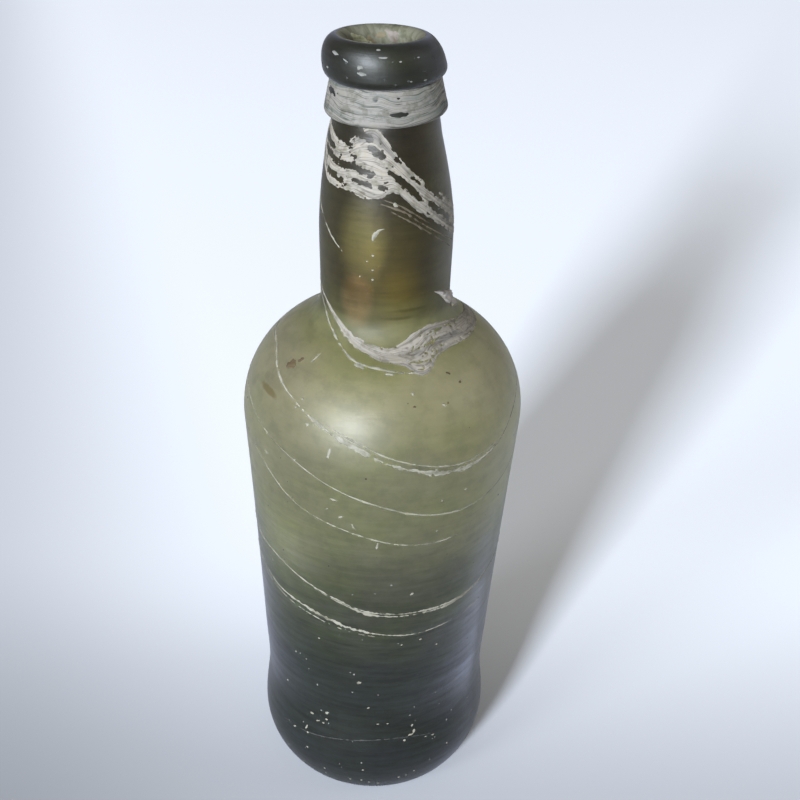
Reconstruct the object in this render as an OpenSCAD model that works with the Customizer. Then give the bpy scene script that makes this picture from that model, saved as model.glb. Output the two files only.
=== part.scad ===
// Hand-blown green glass bottle with a finish applied in two gathers of glass.
// The origin is the centre of the resting ring, with +Z up the bottle's axis.
// Every piece is turned about that axis from one closed outline of [radius, height] points.

/* [Base] */
// Height of the push-up in the underside
pushup_h = 19; // [14:0.5:22]
// Radius at which the push-up's dome meets the underside
pushup_r = 27; // [25:0.5:28]
// Rounding of the ring that the bottle stands on
ring_round = 3; // [2:0.5:4]
// Widest diameter of the heel
heel_d = 77.4; // [76:0.2:79]
// Height of the heel's widest ring
heel_z = 17.5; // [16:0.5:19]
// Radius of the heel's curve down to the resting ring
heel_round = 27; // [25:0.5:29]

/* [Body] */
// Narrowest diameter, just above the heel
waist_d = 74.6; // [73.6:0.2:75.6]
// Height of the waist
waist_z = 36; // [33:0.5:39]
// Diameter where the long taper of the body starts
taper_d = 76.6; // [76:0.2:77.4]
// Height where the long taper of the body starts
taper_z = 54; // [50:1:58]
// Outward lean of the taper where it starts, in millimetres per millimetre
taper_lean_low = 0.05; // [0.04:0.005:0.06]
// Outward lean of the taper where it ends, in millimetres per millimetre
taper_lean_high = 0.07; // [0.06:0.005:0.08]

/* [Shoulder] */
// Widest diameter of the bottle
shoulder_d = 87.1; // [85:0.5:90]
// Height of the widest ring
shoulder_z = 138.7; // [134:0.5:142]
// Radius of the shoulder's curve
shoulder_round = 33; // [31:0.5:35]
// Radius of the hollow curve between shoulder and neck
root_round = 10; // [8:0.5:12]

/* [Neck] */
// Diameter at the foot of the neck
root_d = 38.8; // [37.6:0.2:40]
// Diameter of the neck's swelling
bulge_d = 39.4; // [38.4:0.2:40.4]
// Height of the neck's swelling
bulge_z = 197.5; // [194:0.5:201]
// Diameter just under the finish
throat_d = 30.4; // [29.8:0.2:31]
// Height of the throat
throat_z = 231.8; // [230:0.2:233]
// Inward lean of the neck at the throat, in millimetres per millimetre
throat_lean = 0.2; // [0.15:0.01:0.25]

/* [Finish] */
// Height of the collar's lower edge
collar_z = 234; // [233.4:0.2:235]
// Widest diameter of the collar
collar_d = 34.2; // [33.4:0.2:35]
// Diameter of the groove between collar and lip
groove_d = 30.8; // [30:0.2:31.6]
// Diameter of the neck's cracked-off end, inside the finish
neck_end_d = 26.8; // [26:0.2:27.6]
// Height of the neck's cracked-off end, where the lip sits
seat_z = 244; // [243:0.2:245]
// Widest diameter of the lip
lip_d = 34.4; // [33.6:0.2:35.2]
// Height of the top of the lip
bottle_h = 255; // [254:0.2:257]
// Diameter of the mouth's straight bore
mouth_d = 18.6; // [18:0.2:19]
// Rounding of the mouth's inner edge
mouth_round = 2.9; // [1.5:0.1:3]

/* [Glass] */
// Wall thickness at the heel and waist
heel_wall = 5.4; // [4.5:0.1:6]
// Wall thickness at the shoulder
shoulder_wall = 3.4; // [3:0.1:4]
// Wall thickness of the neck
neck_wall = 5; // [4.6:0.1:5.2]
// Thickness of the base over the push-up
base_wall = 4.6; // [4:0.1:6]

/* [Hidden] */

bottle_glass = "#3f4623";
collar_glass = "#8e8c7a";
lip_glass = "#23281a";

// Facets round the axis in a preview; the exact solids are true surfaces of revolution.
$fn = 160;

// Steps along one curve of an outline.
arc_steps = 10;
taper_steps = 20;
neck_steps = 12;

// Push-up dome and the small roundings at the resting ring.
dome_r = (pushup_r * pushup_r + pushup_h * pushup_h) / (2 * pushup_h);
dome_z = pushup_h - dome_r;
heel_axis = heel_d / 2 - heel_round;
ring_drop = heel_z - ring_round;
ring_axis = heel_axis + sqrt(pow(heel_round - ring_round, 2) - ring_drop * ring_drop);
ring_angle = asin(ring_drop / (heel_round - ring_round));
ring_inner_round = 1.5;
ring_inner_rise = ring_inner_round - dome_z;
ring_inner_axis = sqrt(pow(dome_r + ring_inner_round, 2) - ring_inner_rise * ring_inner_rise);
ring_inner_angle = asin(ring_inner_rise / (dome_r + ring_inner_round));

// Trough inside the base, between the wall and the dome.
trough_round = 5;
trough_axis = heel_d / 2 - heel_wall - trough_round;
trough_reach = dome_r + base_wall + trough_round;
trough_z = dome_z + sqrt(trough_reach * trough_reach - trough_axis * trough_axis);
trough_angle = acos(trough_axis / trough_reach);

// Shoulder arc, and the hollow arc that touches both it and the neck.
shoulder_axis = shoulder_d / 2 - shoulder_round;
shoulder_start = -atan(taper_lean_high);
root_axis = root_d / 2 + root_round;
root_reach = shoulder_round + root_round;
root_rise = sqrt(pow(root_reach, 2) - pow(root_axis - shoulder_axis, 2));
root_z = shoulder_z + root_rise;
root_angle = asin(root_rise / root_reach);

// Collar: rounding of its two edges, and the angle at which its leaning face looks up.
collar_round = 1.3;
collar_top_round = 0.6;
collar_face_angle = 10;

// Lip: rounding of its lower edge, and the radius at which its dome is highest.
lip_low_round = 2.6;
lip_axis = 12.2;

// The neck's bore is this much wider in radius than the lip's where they meet.
neck_step = 0.2;

// Points on an arc about [r, z], from angle a to angle b.
function arc(r, z, radius, a, b, steps = arc_steps) = [
    for (i = [0:steps])
        let (angle = a + (b - a) * i / steps)
            [r + radius * cos(angle), z + radius * sin(angle)]
];

// Points on a smooth line between two heights, with a given lean at each end.
function flow(r0, z0, lean0, r1, z1, lean1, steps) = [
    for (i = [0:steps])
        let (t = i / steps, h = z1 - z0)
            [
                r0 * (2 * t * t * t - 3 * t * t + 1) + h * lean0 * (t * t * t - 2 * t * t + t)
                + r1 * (3 * t * t - 2 * t * t * t) + h * lean1 * (t * t * t - t * t),
                z0 + h * t
            ]
];

// The same points without the last one, which the next stretch starts with.
function open_end(points) = [for (i = [0:len(points) - 2]) points[i]];

function backwards(points) = [for (i = [len(points) - 1:-1:0]) points[i]];

// Side of the bottle from the heel to the throat, moved in by the glass's thickness.
function side(low_inset, high_inset, neck_inset) = concat(
    open_end(flow(
        heel_d / 2 - low_inset, heel_z, 0,
        waist_d / 2 - low_inset, waist_z, 0, arc_steps
    )),
    open_end(flow(
        waist_d / 2 - low_inset, waist_z, 0,
        taper_d / 2 - low_inset, taper_z, taper_lean_low, arc_steps
    )),
    open_end(flow(
        taper_d / 2 - low_inset, taper_z, taper_lean_low,
        shoulder_axis + (shoulder_round - high_inset) * cos(shoulder_start),
        shoulder_z + (shoulder_round - high_inset) * sin(shoulder_start), taper_lean_high, taper_steps
    )),
    open_end(arc(
        shoulder_axis, shoulder_z, shoulder_round - high_inset, shoulder_start, root_angle, 2 * arc_steps
    )),
    open_end(arc(root_axis, root_z, root_round + high_inset, 180 + root_angle, 180)),
    open_end(flow(
        root_d / 2 - high_inset, root_z, 0,
        bulge_d / 2 - neck_inset, bulge_z, 0, arc_steps
    )),
    flow(
        bulge_d / 2 - neck_inset, bulge_z, 0,
        throat_d / 2 - neck_inset, throat_z, -throat_lean, neck_steps
    )
);

// Underside: dome of the push-up, inner edge of the ring, outer edge of the ring, and heel.
function underside() = concat(
    open_end(arc(0, dome_z, dome_r, 90, ring_inner_angle, 2 * arc_steps)),
    arc(ring_inner_axis, ring_inner_round, ring_inner_round, 180 + ring_inner_angle, 270, 4),
    open_end(arc(ring_axis, ring_round, ring_round, -90, -ring_angle, 4)),
    open_end(arc(heel_axis, heel_z, heel_round, -ring_angle, 0))
);

// Inside of the base: dome over the push-up, then the trough up to the wall.
function floor_line() = concat(
    open_end(arc(0, dome_z, dome_r + base_wall, 90, trough_angle, 2 * arc_steps)),
    open_end(arc(trough_axis, trough_z, trough_round, 180 + trough_angle, 360))
);

// Blown vessel: base with push-up, heel, body, shoulder and neck in one wall of glass.
module vessel() {
    color(bottle_glass)
        rotate_extrude()
            polygon(concat(
                underside(),
                side(0, 0, 0),
                [[neck_end_d / 2, seat_z], [mouth_d / 2 + neck_step, seat_z]],
                backwards(concat(floor_line(), side(heel_wall, shoulder_wall, neck_wall)))
            ));
}

// Radius of the neck's outside at a height within the finish.
function neck_r(z) = throat_d / 2 + (neck_end_d - throat_d) / 2 * (z - throat_z) / (seat_z - throat_z);

// Applied collar: a band of glass that leans in from its lower edge to the groove.
module collar() {
    collar_max = collar_d / 2 - collar_round;
    color(collar_glass)
        rotate_extrude()
            polygon(concat(
                [[neck_r(collar_z), collar_z]],
                arc(collar_max, collar_z + collar_round, collar_round, -90, collar_face_angle, 8),
                arc(
                    groove_d / 2 - collar_top_round, seat_z - collar_top_round, collar_top_round,
                    collar_face_angle, 90, 5
                ),
                [[neck_end_d / 2, seat_z]]
            ));
}

// Applied lip: a thick rounded ring on the neck's end, with the mouth's straight bore.
module lip() {
    crest_in = mouth_d / 2 + mouth_round;
    dome_low = seat_z + lip_low_round;
    dome_wide = lip_d / 2 - lip_axis;
    dome_high = bottle_h - dome_low;
    color(lip_glass)
        rotate_extrude()
            polygon(concat(
                [[mouth_d / 2, seat_z]],
                open_end(arc(lip_d / 2 - lip_low_round, dome_low, lip_low_round, -90, 0)),
                [
                    for (i = [0:2 * arc_steps])
                        let (angle = 90 * i / (2 * arc_steps))
                            [lip_axis + dome_wide * cos(angle), dome_low + dome_high * sin(angle)]
                ],
                arc(crest_in, bottle_h - mouth_round, mouth_round, 90, 180, 8)
            ));
}

vessel();
collar();
lip();
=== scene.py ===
"""Antique green glass bottle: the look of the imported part, built around its frame.

Outlines are lists of (radius, height) in millimetres, worked out from the same driving dimensions as the
part. Heights and widths that a CAD node shows are read from the frame. Azimuths are in degrees, 0 towards
-Y and growing towards +X. Every mesh is in metres.
"""

import math
import random

import bpy
import numpy as np
from mathutils import Matrix, Vector, noise


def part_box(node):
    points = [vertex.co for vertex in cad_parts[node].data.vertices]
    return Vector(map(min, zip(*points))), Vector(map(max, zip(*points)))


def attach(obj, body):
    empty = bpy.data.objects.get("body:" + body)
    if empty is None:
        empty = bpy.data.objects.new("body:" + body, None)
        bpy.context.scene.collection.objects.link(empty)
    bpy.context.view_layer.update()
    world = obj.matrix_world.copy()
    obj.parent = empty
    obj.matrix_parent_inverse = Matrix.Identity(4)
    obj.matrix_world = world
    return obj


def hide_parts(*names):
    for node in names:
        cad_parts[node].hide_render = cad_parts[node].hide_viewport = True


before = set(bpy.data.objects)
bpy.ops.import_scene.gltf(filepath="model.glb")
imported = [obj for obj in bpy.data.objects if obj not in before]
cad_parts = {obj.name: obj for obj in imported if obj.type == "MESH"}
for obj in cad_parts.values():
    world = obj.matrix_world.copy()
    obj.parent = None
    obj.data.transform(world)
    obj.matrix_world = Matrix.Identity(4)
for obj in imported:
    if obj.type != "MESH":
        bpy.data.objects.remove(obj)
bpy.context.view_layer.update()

MM = 0.001

# ---- Driving dimensions, in millimetres ----

LIP_LOW, LIP_HIGH = (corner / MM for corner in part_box("lip"))
COLLAR_LOW, COLLAR_HIGH = (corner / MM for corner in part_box("collar"))
VESSEL_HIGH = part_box("vessel")[1] / MM

SEAT_Z = LIP_LOW.z
BOTTLE_H = LIP_HIGH.z
COLLAR_Z = COLLAR_LOW.z
LIP_R = LIP_HIGH.x
COLLAR_R = COLLAR_HIGH.x
SHOULDER_R = VESSEL_HIGH.y

PUSHUP_H, PUSHUP_R = 19.0, 27.0
RING_ROUND, RING_INNER_ROUND = 3.0, 1.5
HEEL_R, HEEL_Z, HEEL_ROUND = 38.7, 17.5, 27.0
WAIST_R, WAIST_Z = 37.3, 36.0
TAPER_R, TAPER_Z = 38.3, 54.0
TAPER_LEAN_LOW, TAPER_LEAN_HIGH = 0.05, 0.07
SHOULDER_Z, SHOULDER_ROUND, ROOT_ROUND = 138.7, 33.0, 10.0
ROOT_R = 19.4
BULGE_R, BULGE_Z = 19.7, 197.5
THROAT_R, THROAT_Z, THROAT_LEAN = 15.2, 231.8, 0.2
GROOVE_R = 15.4
NECK_END_R = 13.4
MOUTH_R, MOUTH_ROUND = 9.3, 2.9
LIP_AXIS, LIP_LOW_ROUND = 12.2, 2.6
COLLAR_LOW_ROUND, COLLAR_HIGH_ROUND, COLLAR_FACE_LEAN = 1.3, 0.6, 10
HEEL_WALL, SHOULDER_WALL, NECK_WALL, BASE_WALL = 5.4, 3.4, 5.0, 4.6
TROUGH_ROUND = 5.0
NECK_STEP = 0.2  # how far the neck's passage is wider than the mouth

# Air left between two gathers of glass, so that their faces don't lie in one plane.
SEAT_GAP = 0.04

# ---- Outlines ----


def arc(r, z, radius, start, end, steps=16):
    """Points on an arc about (r, z), from angle start to angle end, in degrees."""
    angles = np.radians(np.linspace(start, end, steps + 1))
    return [(r + radius * math.cos(a), z + radius * math.sin(a)) for a in angles]


def flow(r0, z0, lean0, r1, z1, lean1, steps=16):
    """Points on a smooth line between two heights, with a given lean at each end."""
    rise = z1 - z0
    points = []
    for t in np.linspace(0.0, 1.0, steps + 1):
        start_share = 2 * t**3 - 3 * t**2 + 1
        radius = r0 * start_share + r1 * (1 - start_share)
        radius += rise * lean0 * (t**3 - 2 * t**2 + t) + rise * lean1 * (t**3 - t**2)
        points.append((radius, z0 + rise * t))
    return points


def chain(*stretches):
    """Joins stretches of an outline, and drops a point that repeats the one before it."""
    joined = []
    for stretch in stretches:
        for point in stretch:
            if not joined or math.dist(joined[-1], point) > 1e-4:
                joined.append(point)
    return joined


SHOULDER_AXIS = SHOULDER_R - SHOULDER_ROUND
SHOULDER_START = -math.degrees(math.atan(TAPER_LEAN_HIGH))
ROOT_AXIS = ROOT_R + ROOT_ROUND
ROOT_REACH = SHOULDER_ROUND + ROOT_ROUND
ROOT_RISE = math.sqrt(ROOT_REACH**2 - (ROOT_AXIS - SHOULDER_AXIS) ** 2)
ROOT_Z = SHOULDER_Z + ROOT_RISE
ROOT_ANGLE = math.degrees(math.asin(ROOT_RISE / ROOT_REACH))
HEEL_AXIS = HEEL_R - HEEL_ROUND
RING_REACH = HEEL_ROUND - RING_ROUND
RING_DROP = HEEL_Z - RING_ROUND
RING_ANGLE = math.degrees(math.asin(RING_DROP / RING_REACH))
DOME_R = (PUSHUP_R**2 + PUSHUP_H**2) / (2 * PUSHUP_H)
DOME_Z = PUSHUP_H - DOME_R


def side_line(low_inset, high_inset, neck_inset):
    """The bottle's side from heel to throat, moved in by the glass's thickness."""
    start = math.radians(SHOULDER_START)
    taper_top_r = SHOULDER_AXIS + (SHOULDER_ROUND - high_inset) * math.cos(start)
    taper_top_z = SHOULDER_Z + (SHOULDER_ROUND - high_inset) * math.sin(start)
    taper_r = TAPER_R - low_inset
    waist_r = WAIST_R - low_inset
    bulge_r = BULGE_R - neck_inset
    return chain(
        flow(HEEL_R - low_inset, HEEL_Z, 0, waist_r, WAIST_Z, 0),
        flow(waist_r, WAIST_Z, 0, taper_r, TAPER_Z, TAPER_LEAN_LOW),
        flow(taper_r, TAPER_Z, TAPER_LEAN_LOW, taper_top_r, taper_top_z, TAPER_LEAN_HIGH, 24),
        arc(SHOULDER_AXIS, SHOULDER_Z, SHOULDER_ROUND - high_inset, SHOULDER_START, ROOT_ANGLE, 28),
        arc(ROOT_AXIS, ROOT_Z, ROOT_ROUND + high_inset, 180 + ROOT_ANGLE, 180),
        flow(ROOT_R - high_inset, ROOT_Z, 0, bulge_r, BULGE_Z, 0),
        flow(bulge_r, BULGE_Z, 0, THROAT_R - neck_inset, THROAT_Z, -THROAT_LEAN, 20),
    )


def heel_line():
    """The heel's outside, from the resting ring's rounding up to the side."""
    return arc(HEEL_AXIS, HEEL_Z, HEEL_ROUND, -RING_ANGLE, 0)


def underside_line():
    """The underside from the push-up's top, over the resting ring, to the heel."""
    inner_rise = RING_INNER_ROUND - DOME_Z
    inner_reach = DOME_R + RING_INNER_ROUND
    inner_axis = math.sqrt(inner_reach**2 - inner_rise**2)
    inner_angle = math.degrees(math.asin(inner_rise / inner_reach))
    ring_axis = HEEL_AXIS + math.sqrt(RING_REACH**2 - RING_DROP**2)
    return chain(
        arc(0, DOME_Z, DOME_R, 90, inner_angle, 24),
        arc(inner_axis, RING_INNER_ROUND, RING_INNER_ROUND, 180 + inner_angle, 270, 8),
        arc(ring_axis, RING_ROUND, RING_ROUND, -90, -RING_ANGLE, 8),
    )


def floor_line():
    """The inside of the base: dome over the push-up, then the trough up to the wall."""
    axis = HEEL_R - HEEL_WALL - TROUGH_ROUND
    reach = DOME_R + BASE_WALL + TROUGH_ROUND
    height = DOME_Z + math.sqrt(reach**2 - axis**2)
    angle = math.degrees(math.acos(axis / reach))
    return chain(
        arc(0, DOME_Z, DOME_R + BASE_WALL, 90, angle, 24),
        arc(axis, height, TROUGH_ROUND, 180 + angle, 360),
    )


def neck_r(z):
    """Radius of the neck's outside at a height within the finish."""
    return THROAT_R + (NECK_END_R - THROAT_R) * (z - THROAT_Z) / (SEAT_Z - THROAT_Z)


def vessel_inside():
    walls = side_line(HEEL_WALL, SHOULDER_WALL, NECK_WALL)
    return chain(walls, [(MOUTH_R + NECK_STEP, SEAT_Z - SEAT_GAP)])


def vessel_outside():
    return chain(heel_line(), side_line(0, 0, 0), [(NECK_END_R, SEAT_Z - SEAT_GAP)])


def collar_face():
    """The collar's outside, from the neck under it to the groove above it."""
    low, high = COLLAR_LOW_ROUND, COLLAR_HIGH_ROUND
    return chain(
        [(neck_r(COLLAR_Z) + SEAT_GAP, COLLAR_Z)],
        arc(COLLAR_R - low, COLLAR_Z + low, low, -90, COLLAR_FACE_LEAN),
        arc(GROOVE_R - high, SEAT_Z - SEAT_GAP - high, high, COLLAR_FACE_LEAN, 90, 8),
    )


def lip_face():
    """The lip's outside, from its seat over the crest."""
    low = SEAT_Z + LIP_LOW_ROUND
    angles = np.radians(np.linspace(0, 90, 33))
    width, height = LIP_R - LIP_AXIS, BOTTLE_H - low
    return chain(
        arc(LIP_R - LIP_LOW_ROUND, low, LIP_LOW_ROUND, -90, 0),
        [(LIP_AXIS + width * math.cos(a), low + height * math.sin(a)) for a in angles],
    )


def mouth_bore():
    """The mouth from its seat up to the lip's crest."""
    crest = arc(MOUTH_R + MOUTH_ROUND, BOTTLE_H - MOUTH_ROUND, MOUTH_ROUND, 180, 90, 16)
    return chain([(MOUTH_R, SEAT_Z)], crest)


def lip_section():
    return chain(lip_face(), mouth_bore()[::-1])


# ---- Hand-made irregularity, the same for every piece ----

BOW = 1.45  # how far the axis bows towards +X at the neck's foot
BOW_UP, BOW_BACK = (0, 185), (195, 252)  # heights between which it bows out, and comes back
COLLAR_SHIFT = 0.4  # how far the collar sits off the neck's axis, towards +X
COLLAR_TILT = 0.035  # rise of the collar towards +X, per millimetre
COLLAR_IN, COLLAR_OUT = (226, 234), (243, 249)  # heights over which that begins, and ends
LIP_SHIFT = -0.9  # how far the lip's crest leans back towards -X
LIP_TILT = -0.06  # fall of the lip's crest away from the front, per millimetre
CREST_IN = (246, 255)  # heights over which that begins


def smooth_step(low, high, value):
    t = np.clip((value - low) / (high - low), 0.0, 1.0)
    return t * t * (3 - 2 * t)


def warp(points):
    """Bends points in millimetres the way the hand-blown bottle leans."""
    points = np.array(points, float).reshape(-1, 3)
    x, y, z = points.T.copy()
    in_collar = smooth_step(*COLLAR_IN, z) * (1 - smooth_step(*COLLAR_OUT, z))
    in_crest = smooth_step(*CREST_IN, z)
    bow = BOW * (smooth_step(*BOW_UP, z) - smooth_step(*BOW_BACK, z))
    points[:, 0] += bow + COLLAR_SHIFT * in_collar + LIP_SHIFT * in_crest
    points[:, 2] += COLLAR_TILT * x * in_collar + LIP_TILT * y * in_crest
    return points


# ---- Meshes of revolution ----

AROUND = 256


def add_mesh(name, points_mm, faces, material):
    mesh = bpy.data.meshes.new(name)
    mesh.from_pydata((warp(points_mm) * MM).tolist(), [], faces)
    mesh.shade_smooth()
    mesh.materials.append(material)
    piece = bpy.data.objects.new(name, mesh)
    bpy.context.scene.collection.objects.link(piece)
    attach(piece, "root")
    return piece


def revolve(name, outline, material, closed=False):
    """Turns an outline about the axis into a closed mesh. A closed outline is a ring's whole section."""
    points = []
    rings = []
    turns = [2 * math.pi * i / AROUND for i in range(AROUND)]
    for r, z in outline:
        if r < 1e-6:
            rings.append([len(points)])
            points.append((0, 0, z))
        else:
            rings.append(list(range(len(points), len(points) + AROUND)))
            points += [(r * math.sin(t), -r * math.cos(t), z) for t in turns]
    pairs = list(zip(rings, rings[1:]))
    if closed:
        pairs.append((rings[-1], rings[0]))
    faces = []
    for lower, upper in pairs:
        for i in range(AROUND):
            j = (i + 1) % AROUND
            corners = [
                lower[i % len(lower)], lower[j % len(lower)],
                upper[j % len(upper)], upper[i % len(upper)],
            ]
            faces.append(tuple(dict.fromkeys(corners)))
    return add_mesh(name, points, faces, material)


# ---- Thin skins that lie on the glass ----


class Surface:
    """One side of a piece: gives points on it by azimuth and by length along its outline."""

    def __init__(self, outline, inward=False):
        self.r, self.z = np.array(outline, float).T
        steps = np.hypot(np.diff(self.r), np.diff(self.z))
        self.length = np.concatenate([[0.0], np.cumsum(steps)])
        slope_r = np.gradient(self.r, self.length)
        slope_z = np.gradient(self.z, self.length)
        size = np.hypot(slope_r, slope_z)
        self.inward = inward
        side = -1.0 if inward else 1.0
        self.out_r = side * slope_z / size
        self.out_z = -side * slope_r / size

    def at_height(self, z):
        """Length along the outline at a height. The outline climbs all the way."""
        return np.interp(z, self.z, self.length)

    def radius(self, along):
        return np.interp(along, self.length, self.r)

    def place(self, azimuth, along, lift):
        """Points above the surface by lift, as an array with a last axis of three."""
        turn = np.radians(azimuth)
        out_r = np.interp(along, self.length, self.out_r)
        out_z = np.interp(along, self.length, self.out_z)
        r = np.interp(along, self.length, self.r) + out_r * lift
        z = np.interp(along, self.length, self.z) + out_z * lift
        return np.stack([r * np.sin(turn), -r * np.cos(turn), z + 0 * r], axis=-1)

    def on(self, azimuth, along):
        """Points on the surface itself."""
        return self.place(azimuth, along, 0 * along)


SEED_STEP = 17.3  # how far apart two seeds look into the noise, in features


def mottle(points, size, octaves, seed, stretch=(1, 1, 1)):
    """Fractal noise from about -1 to 1 at points in millimetres, with features of the given size."""
    scaled = np.asarray(points, float) / size / np.array(stretch) + seed * SEED_STEP
    flat = scaled.reshape(-1, 3)
    values = [noise.fractal(Vector(p), 1.0, 2.0, octaves) for p in flat.tolist()]
    return np.array(values).reshape(scaled.shape[:-1])


SKIN_FOOT = 0.05  # how deep a skin's underside sits in the glass
SKIN_EDGE = 0.015  # how far a skin's edge stands above the glass
LIFT = 2  # place of the lift in a skin's rows: azimuth, along, lift and the two of grain
GRID_STEP = 0.3  # spacing of the points on a sheet, and along a thread
THREAD_STEP, FLECK_STEP = 0.16, 0.14  # their spacing across a thread, and on a fleck
THREAD_POINT = 0.2  # the most that a thread's half width grows per millimetre from its end
THREAD_RISE, SHEET_RISE, RING_RISE = 0.25, 0.5, 0.4  # mask at which each kind of skin is at full height
CRUST_THICKNESS, COLLAR_THICKNESS, FILM_THICKNESS = 0.1, 0.15, 0.04
SHARP_FROM = math.radians(50)  # a skin's edges sharper than this stay sharp


def cut_grid(values, mask, ring):
    """The part of a grid where mask is above 0: a table of its points' values, and its faces.

    The edge is cut between grid points, where mask crosses 0. On a ring, the grid's first and last
    columns are the same place.
    """
    numbers = {}
    table = []
    last_column = len(mask) - 1

    def joined(i, j):
        return (0, j) if ring and i == last_column else (i, j)

    def number(key, row):
        if key not in numbers:
            numbers[key] = len(table)
            table.append(row)
        return numbers[key]

    def crossing(inside, outside):
        t = np.clip(mask[inside] / (mask[inside] - mask[outside]), 0.05, 0.95)
        row = values[inside] * (1 - t) + values[outside] * t
        row[LIFT] = SKIN_EDGE
        return number((joined(*inside), joined(*outside)), row)

    covered = mask > 0
    busy = covered[:-1, :-1] | covered[1:, :-1] | covered[:-1, 1:] | covered[1:, 1:]
    faces = []
    for i, j in np.argwhere(busy).tolist():
        loop = [(i, j), (i + 1, j), (i + 1, j + 1), (i, j + 1)]
        face = []
        for here, there in zip(loop, loop[1:] + loop[:1]):
            if covered[here]:
                face.append(number(joined(*here), values[here]))
            if covered[here] != covered[there]:
                face.append(crossing(here, there) if covered[here] else crossing(there, here))
        if len(face) > 2:
            faces.append(tuple(face))
    return np.array(table, float).reshape(-1, values.shape[-1]), faces


def skin_parts(surface, azimuth, along, mask, lift, grain, ring=False):
    """Vertices, faces and grain of a closed skin over the part of a grid where mask is above 0.

    grain has a last axis of two: the length along the skin's flow lines, and the distance across them.
    """
    values = np.stack([azimuth, along, np.maximum(lift, SKIN_EDGE), *np.moveaxis(grain, -1, 0)], axis=-1)
    table, top = cut_grid(values, mask, ring)
    count = len(table)
    azimuth, along, lift = table[:, : LIFT + 1].T
    upper = surface.place(azimuth, along, lift)
    lower = surface.place(azimuth, along, np.full(count, -SKIN_FOOT))
    sides = set()
    for face in top:
        sides.update(zip(face, face[1:] + face[:1]))
    faces = list(top)
    faces += [tuple(v + count for v in reversed(face)) for face in top]
    faces += [(b, a, a + count, b + count) for a, b in sorted(sides) if (b, a) not in sides]
    if surface.inward:
        faces = [face[::-1] for face in faces]
    grains = np.concatenate([table[:, LIFT + 1 :]] * 2)
    return np.concatenate([upper, lower]), faces, grains


def add_skin(name, parts, material):
    """One piece from several skins. Its grain goes to the material as an attribute, in millimetres."""
    points, faces, grains = [], [], []
    for some_points, some_faces, some_grains in parts:
        start = len(points)
        points += some_points.tolist()
        grains += some_grains.tolist()
        faces += [tuple(v + start for v in face) for face in some_faces]
    piece = add_mesh(name, points, faces, material)
    piece.data.set_sharp_from_angle(angle=SHARP_FROM)
    attribute = piece.data.attributes.new("grain", "FLOAT_VECTOR", "POINT")
    attribute.data.foreach_set("vector", np.array([(a, b, 0.0) for a, b in grains]).ravel())


def smooth_path(surface, stops, spacing):
    """A smooth line through (azimuth, height, width) stops: azimuth, along and width at even spacing."""
    stops = np.array(stops, float)
    azimuth, height, width = stops.T
    along = surface.at_height(height)
    places = surface.on(azimuth, along)
    chord = np.concatenate([[0.0], np.cumsum(np.linalg.norm(np.diff(places, axis=0), axis=1))])
    count = max(int(chord[-1] / spacing), 2) + 1
    t = np.linspace(0, chord[-1], count)
    return [catmull(chord, values, t) for values in (azimuth, along, width)] + [t]


def catmull(knots, values, t):
    """Smooth curve through values at knots, with the slope of the neighbours at each knot."""
    slopes = np.gradient(values, knots)
    k = np.clip(np.searchsorted(knots, t, side="right") - 1, 0, len(knots) - 2)
    gap = knots[k + 1] - knots[k]
    s = (t - knots[k]) / gap
    return (
        values[k] * (2 * s**3 - 3 * s**2 + 1) + gap * slopes[k] * (s**3 - 2 * s**2 + s)
        + values[k + 1] * (3 * s**2 - 2 * s**3) + gap * slopes[k + 1] * (s**3 - s**2)
    )


def band_field(surface, points, stops):
    """How far inside a band of (azimuth, height, width) stops each point lies, in millimetres."""
    azimuth, along, width, _ = smooth_path(surface, stops, 0.5)
    line = surface.on(azimuth, along)
    flat = points.reshape(-1, 3)
    distance = np.linalg.norm(flat[:, None, :] - line[None, :, :], axis=2)
    inside = width[None, :] / 2 - distance
    return inside.max(axis=1).reshape(points.shape[:-1])


def grid(surface, azimuths, heights):
    """Azimuth and along arrays of a patch of surface, with points about GRID_STEP apart."""
    low, high = (float(surface.at_height(h)) for h in heights)
    middle_r = float(surface.radius((low + high) / 2))
    columns = int(math.radians(azimuths[1] - azimuths[0]) * middle_r / GRID_STEP) + 1
    rows = int((high - low) / GRID_STEP) + 1
    return np.meshgrid(
        np.linspace(azimuths[0], azimuths[1], columns), np.linspace(low, high, rows), indexing="ij"
    )


def thread_parts(surface, stops, seed, raggedness=0.6, thickness=CRUST_THICKNESS):
    """A thin ragged line of crust along (azimuth, height, width) stops, broken where it is thinnest."""
    azimuth, along, width, t = smooth_path(surface, stops, GRID_STEP)
    half = np.max(width) * 0.9 + 0.2
    offsets = np.linspace(-half, half, max(int(2 * half / THREAD_STEP), 6))
    slope_azimuth = np.gradient(np.radians(azimuth) * surface.radius(along), t)
    slope_along = np.gradient(along, t)
    size = np.hypot(slope_azimuth, slope_along)
    side_azimuth = -slope_along / size / surface.radius(along)
    side_along = slope_azimuth / size
    grid_azimuth = azimuth[:, None] + np.degrees(side_azimuth)[:, None] * offsets[None, :]
    grid_along = along[:, None] + side_along[:, None] * offsets[None, :]
    places = surface.on(grid_azimuth, grid_along)
    rough = mottle(places, 1.1, 3, seed)
    swell = mottle(places, 6.0, 2, seed + 5)
    to_end = np.minimum(t, t[-1] - t)[:, None]
    reach = width[:, None] / 2 * (1 + 0.9 * swell) + raggedness * width[:, None] * rough
    mask = np.minimum(reach, to_end * THREAD_POINT) - np.abs(offsets)[None, :]
    lift = thickness * np.clip(mask / THREAD_RISE, 0, 1) * (1 + 0.4 * rough)
    grain = np.stack([t[:, None] + 0 * mask, offsets[None, :] + 0 * mask], axis=-1)
    return skin_parts(surface, grid_azimuth, grid_along, mask, lift, grain)


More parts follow.
